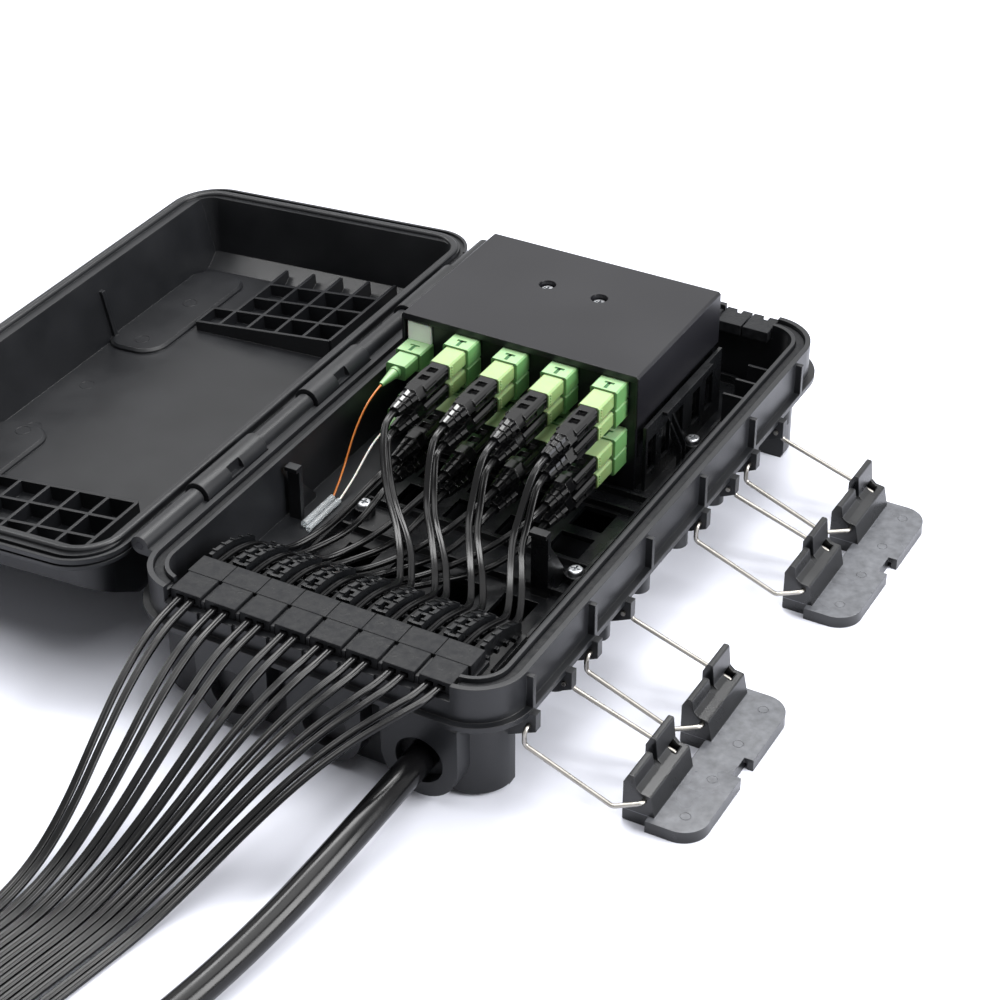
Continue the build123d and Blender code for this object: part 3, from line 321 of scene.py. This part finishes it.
def nurbsCurve(name, points, radius=0.0):
    curve = bpy.data.curves.new(name, "CURVE")
    curve.dimensions = "3D"
    curve.resolution_u = meshSteps["alongCord"]
    spline = curve.splines.new("NURBS")
    spline.points.add(len(points) - 1)
    for target, point in zip(spline.points, points):
        target.co = (*(v * mm for v in point), 1)
    spline.order_u = 3
    spline.use_endpoint_u = True
    curve.bevel_depth = radius * mm
    curve.bevel_resolution = meshSteps["roundCord"]
    curve.use_fill_caps = True
    piece = bpy.data.objects.new(name, curve)
    bpy.context.collection.objects.link(piece)
    return piece


def lineOf(points):
    # points along the route's own NURBS spline
    guide = nurbsCurve("routeGuide", points)
    bpy.context.view_layer.update()
    mesh = bpy.data.meshes.new_from_object(guide.evaluated_get(bpy.context.evaluated_depsgraph_get()))
    line = [vertex.co.copy() for vertex in mesh.vertices]
    bpy.data.meshes.remove(mesh)
    bpy.data.objects.remove(guide)
    return line


def flatSection(width, thick):
    # flat drop cable: two rounded edges and a shallow notch along the middle of each face
    right = [(x * width / 2, z * thick / 2) for x, z in dropRoutes["outline"]]
    left = [(-x, z) for x, z in right[-2::-1]]
    upper = right + left
    return [(x * mm, z * mm) for x, z in upper + [(x, -z) for x, z in upper[-2:0:-1]]]


def sweptStrip(name, line, section, material):
    build = bmesh.new()
    rings = []
    for i, centre in enumerate(line):
        along = (line[min(i + 1, len(line) - 1)] - line[max(i - 1, 0)]).normalized()
        across = along.cross(Vector((0, 0, 1))).normalized()
        over = across.cross(along)
        rings.append([build.verts.new(centre + across * x + over * z) for x, z in section])
    for a, b in zip(rings, rings[1:]):
        for k in range(len(section)):
            build.faces.new((a[k], a[k - 1], b[k - 1], b[k]))
    build.faces.new(rings[0])
    build.faces.new(list(reversed(rings[-1])))
    bmesh.ops.recalc_face_normals(build, faces=build.faces)
    mesh = bpy.data.meshes.new(name)
    build.to_mesh(mesh)
    build.free()
    for face in mesh.polygons:
        face.use_smooth = len(face.vertices) == 4
    mesh.materials.append(material)
    piece = bpy.data.objects.new(name, mesh)
    bpy.context.collection.objects.link(piece)
    return piece


section = flatSection(dropRoutes["width"], dropRoutes["thick"])
number = 0
for column in range(1, 5):
    for row in range(4):
        number += 1
        line = lineOf(dropRoute(column, row))
        cable = sweptStrip(f"dropCable{number:02d}", line, section, finish["extrudedJacket"])
        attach(cable, "base")
        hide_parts(f"drop_cable_{number:02d}")

roundCords = {
    "mainCable": dict(node="main_cable", finish="extrudedJacket", slot="cable_jacket", radius=6.2,
                      length=0.206, farEnd="bare", stiffness="stiff",
                      points=[(51.5, -137, 19.5), (51.5, -172, 19.5), (49.5, -216, 16.0), (44.5, -258, 9.5),
                              (38.0, -300, 6.5), (31.5, -336, 6.4)]),
    "orangeFibre": dict(node="orange_fibre", finish="acrylateOrange", slot="orange_coat", radius=0.45,
                        length=0.06, farEnd="object", stiffness="medium",
                        points=[(-64.5, 6.8, 64.1), (-64.8, 0.0, 62.6), (-65.6, -7.0, 57.5),
                                (-66.0, -15.0, 49.5), (-65.6, -22.0, 41.0), (-64.9, -29.0, 34.4),
                                (-64.5, -35.5, 29.5)]),
    "whiteFibre": dict(node="white_fibre", finish="acrylateWhite", slot="white_coat", radius=0.45,
                       length=0.045, farEnd="object", stiffness="medium",
                       points=[(-64.5, 6.8, 39.6), (-64.2, -1.0, 38.8), (-63.4, -9.0, 36.8),
                               (-62.4, -18.0, 33.8), (-61.6, -27.0, 31.2), (-61.2, -35.5, 29.2)]),
}
for name, cord in roundCords.items():
    piece = nurbsCurve(name, cord["points"], cord["radius"])
    piece.data.materials.append(finish[cord["finish"]])
    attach(piece, "base")
    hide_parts(cord["node"])
print("cords laid:", number + len(roundCords))


# Repeated moulding details, one Geometry Nodes tree for each shape

lidHinge = {
    # a point on its axis in millimetres, and how far the lid stands open in degrees
    "axis": (-91.5, 0, 58),
    "opened": 184,
}


def fromClosed():
    # the lid's details are placed as if it were closed, then turned with it
    hinge = Vector(lidHinge["axis"]) * mm
    turn = Matrix.Rotation(math.radians(-lidHinge["opened"]), 4, "Y")
    return Matrix.Translation(hinge) @ turn @ Matrix.Translation(-hinge)


def rowsTree(shape, levels):
    # rows inside rows of one small shape; the rows may bow down along Y as the comb does
    tree = bpy.data.node_groups.new(f"{shape}Rows{levels}", "GeometryNodeTree")
    tree.is_modifier = True
    face = tree.interface
    face.new_socket(name="Geometry", in_out="OUTPUT", socket_type="NodeSocketGeometry")
    for level in range(levels):
        face.new_socket(name=f"count{level}", in_out="INPUT", socket_type="NodeSocketInt")
        face.new_socket(name=f"step{level}", in_out="INPUT", socket_type="NodeSocketVector")
    for name in ("first", "size", "place"):
        face.new_socket(name=name, in_out="INPUT", socket_type="NodeSocketVector")
    for name in ("drop", "reach"):
        face.new_socket(name=name, in_out="INPUT", socket_type="NodeSocketFloat")
    face.new_socket(name="material", in_out="INPUT", socket_type="NodeSocketMaterial")
    given = tree.nodes.new("NodeGroupInput").outputs
    if shape == "box":
        small = addNode(tree, "GeometryNodeMeshCube", links={"Size": given["size"]}).outputs["Mesh"]
    else:
        parts = addNode(tree, "ShaderNodeSeparateXYZ", links={"Vector": given["size"]}).outputs
        loop = addNode(tree, "GeometryNodeCurvePrimitiveCircle",
                       values={"Resolution": meshSteps["roundMark"]}, links={"Radius": parts["X"]})
        bead = addNode(tree, "GeometryNodeCurvePrimitiveCircle",
                       values={"Resolution": meshSteps["roundBead"]}, links={"Radius": parts["Y"]})
        swept = addNode(tree, "GeometryNodeCurveToMesh",
                        links={"Curve": loop.outputs["Curve"], "Profile Curve": bead.outputs["Curve"]})
        small = swept.outputs["Mesh"]
    for level in range(levels):
        row = addNode(tree, "GeometryNodeMeshLine", links={"Count": given[f"count{level}"],
                                                           "Offset": given[f"step{level}"]})
        if level == levels - 1:
            tree.links.new(given["first"], row.inputs["Start Location"])
        copies = addNode(tree, "GeometryNodeInstanceOnPoints",
                         links={"Points": row.outputs["Mesh"], "Instance": small})
        solid = addNode(tree, "GeometryNodeRealizeInstances",
                        links={"Geometry": copies.outputs["Instances"]})
        small = solid.outputs["Geometry"]
    # the drop grows with the square of the way along Y
    position = addNode(tree, "GeometryNodeInputPosition").outputs["Position"]
    along = addNode(tree, "ShaderNodeSeparateXYZ", links={"Vector": position}).outputs["Y"]
    share = addNode(tree, "ShaderNodeMath", {"operation": "DIVIDE"},
                    links={0: along, 1: given["reach"]}).outputs["Value"]
    square = addNode(tree, "ShaderNodeMath", {"operation": "MULTIPLY"},
                     links={0: share, 1: share}).outputs["Value"]
    sag = addNode(tree, "ShaderNodeMath", {"operation": "MULTIPLY"},
                  links={0: square, 1: given["drop"]}).outputs["Value"]
    bow = addNode(tree, "ShaderNodeCombineXYZ", links={"Z": sag})
    shift = addNode(tree, "ShaderNodeVectorMath", {"operation": "SUBTRACT"},
                    links={0: given["place"], 1: bow.outputs["Vector"]})
    moved = addNode(tree, "GeometryNodeSetPosition",
                    links={"Geometry": small, "Offset": shift.outputs["Vector"]})
    dressed = addNode(tree, "GeometryNodeSetMaterial", links={"Geometry": moved.outputs["Geometry"],
                                                             "Material": given["material"]})
    addNode(tree, "NodeGroupOutput", links={"Geometry": dressed.outputs["Geometry"]})
    return tree


trees = {}  # those already built, by shape and number of levels


def repeated(name, detail):
    kind = (detail["shape"], len(detail["rows"]))
    if kind not in trees:
        trees[kind] = rowsTree(*kind)
    tree = trees[kind]
    keys = {item.name: item.identifier for item in tree.interface.items_tree if item.in_out == "INPUT"}
    holder = bpy.data.objects.new(name + "Rows", bpy.data.meshes.new(name + "Seed"))
    bpy.context.collection.objects.link(holder)
    rows = holder.modifiers.new("rows", "NODES")
    rows.node_group = tree
    for level, (count, step) in enumerate(detail["rows"]):
        rows[keys[f"count{level}"]] = count
        rows[keys[f"step{level}"]] = [v * mm for v in step]
    for key in ("first", "size", "place"):
        rows[keys[key]] = [v * mm for v in detail.get(key, (0, 0, 0))]
    rows[keys["drop"]] = detail.get("drop", 0.0) * mm
    rows[keys["reach"]] = detail.get("reach", 1.0) * mm  # without a drop the rows lie straight
    rows[keys["material"]] = finish[detail["finish"]]
    bpy.context.view_layer.update()
    mesh = bpy.data.meshes.new_from_object(holder.evaluated_get(bpy.context.evaluated_depsgraph_get()))
    bpy.data.objects.remove(holder)
    if detail.get("closed"):
        mesh.transform(fromClosed())
    if detail["shape"] == "ring":
        for face in mesh.polygons:
            face.use_smooth = True
    piece = bpy.data.objects.new(name, mesh)
    bpy.context.collection.objects.link(piece)
    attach(piece, detail["body"])
    return piece


adapterRows = [
    (4, (adapterGrid["columnPitch"], 0, 0)),
    (2, (0, 0, -adapterGrid["rowPitch"])),
    (2, (0, 0, -adapterGrid["tierPitch"])),
]

details = {
    # rows: how many and the step between them, from the inmost out; a ring's size is its two radii
    # comb teeth: caps on the ribs that keep the flat cables down
    "combTeeth": dict(shape="box", body="base", slot="black_plastic", finish="absSmoothTray",
                      rows=[(2, (11.6, 0, 0)), (8, (16.3, 0, 0)), (5, (0, 6.2, 0))], first=(0, 3.4, 0),
                      size=(2.3, 0.9, 0.7), place=(-64.3, -127.4, 56.6), drop=9.0, reach=30.4),
    # grip nubs down both sides of every lime plug
    "plugGripNubs": dict(shape="box", body="base", slot="lime_grip", finish="pbtLime",
                         rows=[(4, (0, 0, 1.4)), (2, (10.4, 0, 0))] + adapterRows,
                         size=(0.5, 1.0, 0.7), place=(-45.38, 19.0, 71.3)),
    # side rails of the connector shells
    "shellRails": dict(shape="box", body="base", slot="gloss_black", finish="polycarbonateBlack",
                       rows=[(2, (0, 0, 3.2)), (2, (9.6, 0, 0))] + adapterRows,
                       size=(0.9, 18.0, 0.8), place=(-44.98, 6.0, 71.8)),
    # ejector pin marks on the latch handles
    "latch1Marks": dict(shape="ring", body="latch_1", slot="black_plastic", finish="absLatchHandle",
                        rows=[(4, (0, 24.5, 0))], size=(2.1, 0.14, 0), place=(149.0, -125.5, 5.5)),
    "latch2Marks": dict(shape="ring", body="latch_2", slot="black_plastic", finish="absLatchHandle",
                        rows=[(4, (0, 24.5, 0))], size=(2.1, 0.14, 0), place=(149.0, 29.0, 5.5)),
    # ejector pin marks in the lid, on the two pads and the floor between them
    "lidMarks": dict(shape="ring", body="lid", slot="black_plastic", finish="absSparkTextured", closed=True,
                     rows=[(4, (0, 42.0, 0))], size=(3.6, 0.16, 0), place=(52.5, -32.0, 93.3)),
    "lidPadMarks": dict(shape="ring", body="lid", slot="black_plastic", finish="absSparkTextured",
                        closed=True, rows=[(2, (0, 41.0, 0)), (2, (0, -136.0, 0))], size=(3.6, 0.16, 0),
                        place=(52.0, 55.0, 91.0)),
    # painted shade: thin dark green boxes laid in the adapters' keyways, where their shade falls
    "keySlotShades": dict(shape="box", body="base", slot="green_adapter", finish="pbtSlot",
                     rows=adapterRows, size=(1.5, 5.3, 0.2), place=(-40.18, 34.8, 77.67)),
    "keyBarShades": dict(shape="box", body="base", slot="green_adapter", finish="pbtSlot",
                    rows=adapterRows, size=(4.4, 1.3, 0.2), place=(-40.18, 36.8, 77.67)),
    "firstKeySlotShades": dict(shape="box", body="base", slot="green_adapter", finish="pbtSlot",
                          rows=adapterRows[2:], size=(1.5, 5.3, 0.2), place=(-64.59, 34.8, 68.37)),
}
for name, detail in details.items():
    repeated(name, detail)
print("repeated details:", len(details))


# Stage, light and camera

studio = {
    # the floor, its fade and the clip in metres; the camera's place, lens and sensor in millimetres
    "floorSize": 2.4,
    "floorColour": "#dddfe9",
    "floorRough": 0.7,
    "fadeFrom": 0.45,
    "fadeTo": 0.85,
    "worldColour": "#ffffff",
    "worldStrength": 0.2,
    "camera": (430.24, -785.26, 637.61),
    "azimuth": 28.76,
    "elevation": 34.25,
    "lens": 89.14,
    "sensor": 36,
    "clip": (0.05, 30),
}

floorMesh = bpy.data.meshes.new("floor")
half = studio["floorSize"] / 2
corners = [(-half, -half, 0), (half, -half, 0), (half, half, 0), (-half, half, 0)]
floorMesh.from_pydata(corners, [], [(0, 1, 2, 3)])
floor = bpy.data.objects.new("floor", floorMesh)
bpy.context.collection.objects.link(floor)
floorMaterial = bpy.data.materials.new("paperSweep")
floorMaterial.use_nodes = True
paper = floorMaterial.node_tree
paperShader = paper.nodes["Principled BSDF"]
paperShader.inputs["Base Color"].default_value = toLinear(studio["floorColour"])
paperShader.inputs["Roughness"].default_value = studio["floorRough"]
# away from the object the paper fades to plain white, for the camera alone
distance = addNode(paper, "ShaderNodeVectorMath", {"operation": "LENGTH"},
                   links={"Vector": addNode(paper, "ShaderNodeTexCoord").outputs["Object"]})
fade = addNode(paper, "ShaderNodeMapRange", {"interpolation_type": "SMOOTHSTEP"},
               {"From Min": studio["fadeFrom"], "From Max": studio["fadeTo"]},
               {"Value": distance.outputs["Value"]})
seenRays = addNode(paper, "ShaderNodeLightPath")
seenFade = addNode(paper, "ShaderNodeMath", {"operation": "MULTIPLY"},
                   links={0: fade.outputs["Result"], 1: seenRays.outputs["Is Camera Ray"]})
plainWhite = addNode(paper, "ShaderNodeEmission")
blended = addNode(paper, "ShaderNodeMixShader",
                  links={0: seenFade.outputs["Value"], 1: paperShader.outputs["BSDF"],
                         2: plainWhite.outputs["Emission"]})
paper.links.new(blended.outputs["Shader"], paper.nodes["Material Output"].inputs["Surface"])
floorMesh.materials.append(floorMaterial)

world = bpy.data.worlds.new("studioWorld")
bpy.context.scene.world = world
world.use_nodes = True
sky = world.node_tree
sky.nodes.clear()
rays = addNode(sky, "ShaderNodeLightPath")
# the camera, gloss and clear plastic see a white room; the light on the object stays soft
mirrored = addNode(sky, "ShaderNodeMath", {"operation": "MAXIMUM"},
                   links={0: rays.outputs["Is Glossy Ray"], 1: rays.outputs["Is Transmission Ray"]})
seen = addNode(sky, "ShaderNodeMath", {"operation": "MAXIMUM"},
               links={0: rays.outputs["Is Camera Ray"], 1: mirrored.outputs["Value"]})
glow = addNode(sky, "ShaderNodeBackground", values={"Color": toLinear(studio["worldColour"]),
                                                    "Strength": studio["worldStrength"]})
white = addNode(sky, "ShaderNodeBackground", values={"Color": (1, 1, 1, 1), "Strength": 1.0})
mixed = addNode(sky, "ShaderNodeMixShader",
                links={0: seen.outputs["Value"], 1: glow.outputs["Background"],
                       2: white.outputs["Background"]})
addNode(sky, "ShaderNodeOutputWorld", links={"Surface": mixed.outputs["Shader"]})

lamps = {
    # name: place and size in metres, power in watts
    "rearSoftbox": dict(place=(-0.35, 0.75, 1.55), aim=(0, 0, 0.05), size=(1.5, 0.4), power=33),
    "topSoftbox": dict(place=(0.2, -0.05, 1.5), aim=(0, 0, 0), size=(1.1, 1.1), power=15.5),
    "leftStrip": dict(place=(-1.25, 0.1, 0.75), aim=(0, 0, 0.05), size=(0.3, 1.2), power=9),
    "rightSoftbox": dict(place=(1.3, 0.1, 0.75), aim=(0.05, 0, 0.05), size=(0.7, 0.9), power=33),
}
for name, lamp in lamps.items():
    light = bpy.data.lights.new(name, "AREA")
    light.shape = "RECTANGLE"
    light.size, light.size_y = lamp["size"]
    light.energy = lamp["power"]
    holder = bpy.data.objects.new(name, light)
    bpy.context.collection.objects.link(holder)
    holder.location = lamp["place"]
    beam = Vector(lamp["aim"]) - Vector(lamp["place"])
    holder.rotation_euler = beam.to_track_quat("-Z", "Y").to_euler()

cameraData = bpy.data.cameras.new("photoCamera")
cameraData.sensor_width = studio["sensor"]
cameraData.sensor_fit = "HORIZONTAL"
cameraData.lens = studio["lens"]
cameraData.clip_start, cameraData.clip_end = studio["clip"]
camera = bpy.data.objects.new("photoCamera", cameraData)
bpy.context.collection.objects.link(camera)
camera.location = [v * mm for v in studio["camera"]]
camera.rotation_euler = (math.radians(90 - studio["elevation"]), 0, math.radians(studio["azimuth"]))
bpy.context.scene.camera = camera
bpy.context.scene.view_settings.view_transform = "Standard"
print("studio ready")
